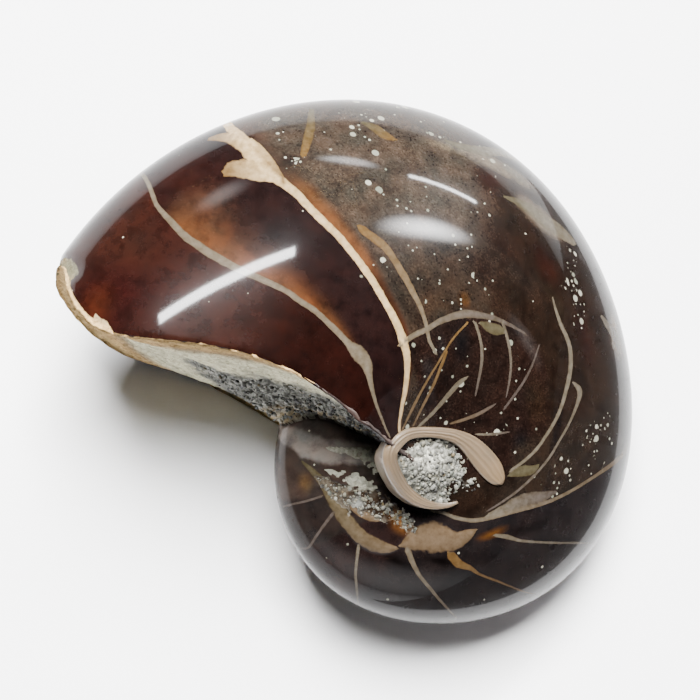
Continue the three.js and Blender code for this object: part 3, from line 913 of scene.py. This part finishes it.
sandstone, shader = new_material("grey_sandstone", 0.8)
dry = attribute("stone_tint")
grit = apply_effect(sand_grit, colour=dry, pepper=(0.3, 0.29, 0.28), salt=(1.9, 1.9, 1.85))
colour = mottled(blend(0.7, dry, grit["colour"]), (0.4, 0.38, 0.36), 2400, 4, 0.5, 0.75)
tree.links.new(colour, shader.inputs["Base Color"])
uneven_by(maths("MULTIPLY", grit["off_middle"], -1.0), 0.6, 0.0004)
plug.data.materials.append(sandstone)
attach(plug, "root")
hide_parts("nautilus_shell")

# The loose-looking grains. Coarse sand grains that stand out of the sandstone where it is not polished: in
# the navel, in the hollow beside it and over the inner end of the mouth. Each is a small worn lump sunk by
# half in the bed.
seed = np.random.default_rng(7)
GRAIN_TINTS = np.array([
    (0.16, 0.158, 0.135), (0.105, 0.104, 0.092), (0.060, 0.060, 0.055), (0.030, 0.028, 0.025),
    (0.085, 0.066, 0.036), (0.125, 0.118, 0.090), (0.012, 0.011, 0.010), (0.080, 0.084, 0.070),
])


GRAIN_SUNK = 0.15


def scatter(label, points, ups, sizes, weights):
    """One joined mesh of worn grains, given their places, upward directions, sizes and tint weights."""
    bpy.ops.object.select_all(action="DESELECT")
    bpy.ops.mesh.primitive_uv_sphere_add(segments=8, ring_count=5, radius=1.0)
    one = bpy.context.object
    shape = read(one.data.vertices, "co", 3)
    loops = np.zeros(len(one.data.loops), int)
    one.data.loops.foreach_get("vertex_index", loops)
    starts, sides = np.zeros(len(one.data.polygons), int), np.zeros(len(one.data.polygons), int)
    one.data.polygons.foreach_get("loop_start", starts)
    one.data.polygons.foreach_get("loop_total", sides)
    count = len(points)
    stretch = seed.uniform(0.6, 1.25, (count, 1, 3))
    lumps = shape[None] * (1 + 0.22 * seed.normal(size=(count, len(shape), 1)).clip(-1.5, 1.5)) * stretch
    spin = seed.normal(size=(count, 3, 3))
    spin = np.linalg.qr(spin)[0]
    lumps = np.einsum("nvi,nij->nvj", lumps, spin) * sizes[:, None, None]
    lumps = lumps + (points - ups * sizes[:, None] * GRAIN_SUNK)[:, None]
    joined = bpy.data.meshes.new(label)
    joined.vertices.add(count * len(shape))
    joined.vertices.foreach_set("co", (lumps.reshape(-1, 3) * MM).ravel())
    joined.loops.add(count * len(loops))
    joined.loops.foreach_set("vertex_index", (loops[None] + np.arange(count)[:, None] * len(shape)).ravel())
    joined.polygons.add(count * len(starts))
    joined.polygons.foreach_set("loop_start", (starts[None] + np.arange(count)[:, None] * len(loops)).ravel())
    joined.update(calc_edges=True)
    joined.validate()
    tints = GRAIN_TINTS[seed.choice(len(GRAIN_TINTS), count, p=np.array(weights) / sum(weights))]
    tints = tints * seed.uniform(0.75, 1.25, (count, 1))
    tints = np.repeat(tints, len(shape), axis=0)
    colours = joined.attributes.new("stone_tint", "FLOAT_COLOR", "POINT")
    colours.data.foreach_set("color", np.column_stack([tints, np.ones(len(tints))]).ravel())
    one.data = joined
    one.name = label
    bpy.ops.object.shade_smooth()
    joined.materials.append(grain_stone)
    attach(one, "root")
    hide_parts("nautilus_shell")


grain_stone, shader = new_material("sand_grain", 0.55)
colour = mottled(attribute("stone_tint"), (0.6, 0.58, 0.54), 2600, 3, 0.4, 0.7)
tree.links.new(colour, shader.inputs["Base Color"])

# In the navel: fewer over its dark corner and over its chalky middle.
NAVEL_GRAINS = 620
turns, outs = seed.uniform(0, 1, NAVEL_GRAINS), np.sqrt(seed.uniform(0, 1, NAVEL_GRAINS)) * 0.97
places = plug_point(turns, outs)
places = places + UP * (bed_swell(places) - PLUG_SUNK)[:, None]
dark = away_from(places, DARK_SPOT, 2.4) < 1
chalky = away_from(places, (8.6, -15.8, 33.6), np.array([3.2, 2.0, 4])) < 1
in_dark = seed.uniform(0, 1, NAVEL_GRAINS) < 0.3
places = places[np.where(dark, in_dark, ~chalky | (seed.uniform(0, 1, NAVEL_GRAINS) < 0.35))]
sizes = seed.choice([0.16, 0.24, 0.34, 0.46], len(places), p=[0.4, 0.33, 0.2, 0.07])
sizes = sizes * seed.uniform(0.8, 1.2, len(places))
scatter("navel_grains", places, np.tile(UP, (len(places), 1)), sizes, [6, 4, 1.6, 0.7, 0.3, 4, 0.4, 2])

# Over the inner end of the mouth, and in the hollow beside the navel: on the shell's own rough stone.
in_mouth = coarse * (inside > 0.2)
in_hollow = np.clip(pit - chalk * 0.8, 0, 1) * (angle < -180) * (place > 0)
for label, chance, count, low_size, high_size, weights in (
    ("mouth_grains", in_mouth, 1300, 0.14, 0.40, [3, 4, 3, 2.4, 1.2, 1.6, 2, 2]),
    ("hollow_grains", in_hollow, 300, 0.10, 0.36, [4, 3, 0.6, 1.4, 0.6, 3, 0.6, 2]),
):
    area = chance * (spot[:, 2] > 0.5)
    picked = seed.choice(len(spot), count, p=area / area.sum())
    outward = normal[picked]
    jitter = seed.normal(size=(count, 3)) * 0.18
    jitter -= outward * (jitter * outward).sum(1)[:, None]
    sizes = low_size + (high_size - low_size) * seed.uniform(0, 1, count) ** 2.2
    scatter(label, moved[picked] + jitter, outward, sizes, weights)

# The table: a plain white laminate board, matt, that the stone lies on.
bpy.ops.object.select_all(action="DESELECT")
bpy.ops.mesh.primitive_plane_add(size=1.6)
table = bpy.context.object
table.name = "table"
laminate, shader = new_material("white_laminate", 0.75)
shader.inputs["Base Color"].default_value = (0.84, 0.84, 0.845, 1)
shader.inputs["Specular IOR Level"].default_value = 0.2
table.data.materials.append(laminate)

# A dark card bent round the right of the stone, out of sight, which the polish mirrors along that side. It
# is cut low towards both ends and stands on the table by its lower edge.
CARD_RADIUS, CARD_HEIGHT, CARD_FROM, CARD_TO = 0.088, 0.058, -92, 46
bpy.ops.object.select_all(action="DESELECT")
bpy.ops.mesh.primitive_grid_add(x_subdivisions=36, y_subdivisions=1, size=1)
card = bpy.context.object
card.name = "dark_card"
for vertex in card.data.vertices:
    turn = math.radians(CARD_FROM + (vertex.co.x + 0.5) * (CARD_TO - CARD_FROM))
    height = (vertex.co.y + 0.5) * CARD_HEIGHT * math.sin((vertex.co.x + 0.5) * math.pi) ** 1.1
    vertex.co = (CARD_RADIUS * math.cos(turn), CARD_RADIUS * math.sin(turn), height)
card.visible_camera = False
dark_paper, shader = new_material("dark_paper", 0.8)
shader.inputs["Base Color"].default_value = (0.11, 0.10, 0.10, 1)
card.data.materials.append(dark_paper)

# The room and its lamps: a dim room, two tubes beyond the stone and a soft lamp over it, and four pale shapes
# that light nothing and only show in the polish.
room_light = bpy.data.worlds.new("room")
bpy.context.scene.world = room_light
room_light.use_nodes = True
dim = room_light.node_tree.nodes["Background"].inputs
dim["Color"].default_value = (0.95, 0.97, 1.0, 1)
dim["Strength"].default_value = 0.05


def lamp(label, azimuth, elevation, distance, width, height, watts,
         roll=0.0, soft=0.0, mirrored=True, lights=True):
    """A rectangular lamp facing the stone, fading towards its rim by the share soft of its half-size. One
    that is not mirrored doesn't show in the polish, and one that lights nothing only shows in it."""
    data = bpy.data.lights.new(label, "AREA")
    data.shape, data.size, data.size_y, data.energy = "RECTANGLE", width, height, watts
    if soft:
        data.use_nodes = True
        nodes, links = data.node_tree.nodes, data.node_tree.links
        glow_node = nodes["Emission"]
        where = nodes.new("ShaderNodeNewGeometry")
        from_middle = nodes.new("ShaderNodeVectorMath")
        from_middle.operation = "MULTIPLY_ADD"
        from_middle.inputs[1].default_value = (2, 2, 0)
        from_middle.inputs[2].default_value = (-1, -1, 0)
        links.new(where.outputs["Parametric"], from_middle.inputs[0])
        length = nodes.new("ShaderNodeVectorMath")
        length.operation = "LENGTH"
        links.new(from_middle.outputs[0], length.inputs[0])
        fade = nodes.new("ShaderNodeMapRange")
        fade.interpolation_type = "SMOOTHSTEP"
        for socket, value in zip(fade.inputs[1:5], (1.0 - soft, 1.0, 1.0, 0.0)):
            socket.default_value = value
        links.new(length.outputs["Value"], fade.inputs[0])
        links.new(fade.outputs[0], glow_node.inputs["Strength"])
    made = bpy.data.objects.new(label, data)
    bpy.context.collection.objects.link(made)
    a, e = math.radians(azimuth), math.radians(elevation)
    aim = Vector((0, 0, 0.03))
    away = Vector((math.cos(e) * math.cos(a), math.cos(e) * math.sin(a), math.sin(e)))
    made.location = aim + away * distance
    facing = away.to_track_quat("Z", "Y") @ Matrix.Rotation(math.radians(roll), 3, "Z").to_quaternion()
    made.rotation_euler = facing.to_euler()
    made.visible_glossy = mirrored
    made.visible_diffuse = lights


lamp("long_tube", 98, 52, 1.6, 1.0, 0.06, 64, 7)
lamp("far_tube", 50, 17, 1.6, 0.42, 0.03, 9, 24)
lamp("side_lamp", 44, 30.5, 1.6, 0.66, 0.22, 95, 36, 1.0, lights=False)
lamp("dim_window", 71, 21, 1.8, 0.5, 0.12, 11, 0, 0.7, lights=False)
lamp("pale_wall", 99, 28, 1.8, 0.5, 0.3, 7, 10, 0.9, lights=False)
lamp("front_card", -100, 12, 1.4, 3.8, 1.2, 62, 0, 0.95, lights=False)
lamp("soft_sky", 112, 68, 0.62, 0.30, 0.26, 31, mirrored=False)

# The camera: above the stone and a little to its front left.
camera_data = bpy.data.cameras.new("camera")
camera = bpy.data.objects.new("camera", camera_data)
bpy.context.collection.objects.link(camera)
camera_data.sensor_width = 36
camera_data.lens = 121.0
camera.location = (-0.0640, -0.0518, 0.3580)
camera.rotation_euler = [math.radians(a) for a in (8.65, -10.74, 0.72)]
bpy.context.scene.camera = camera
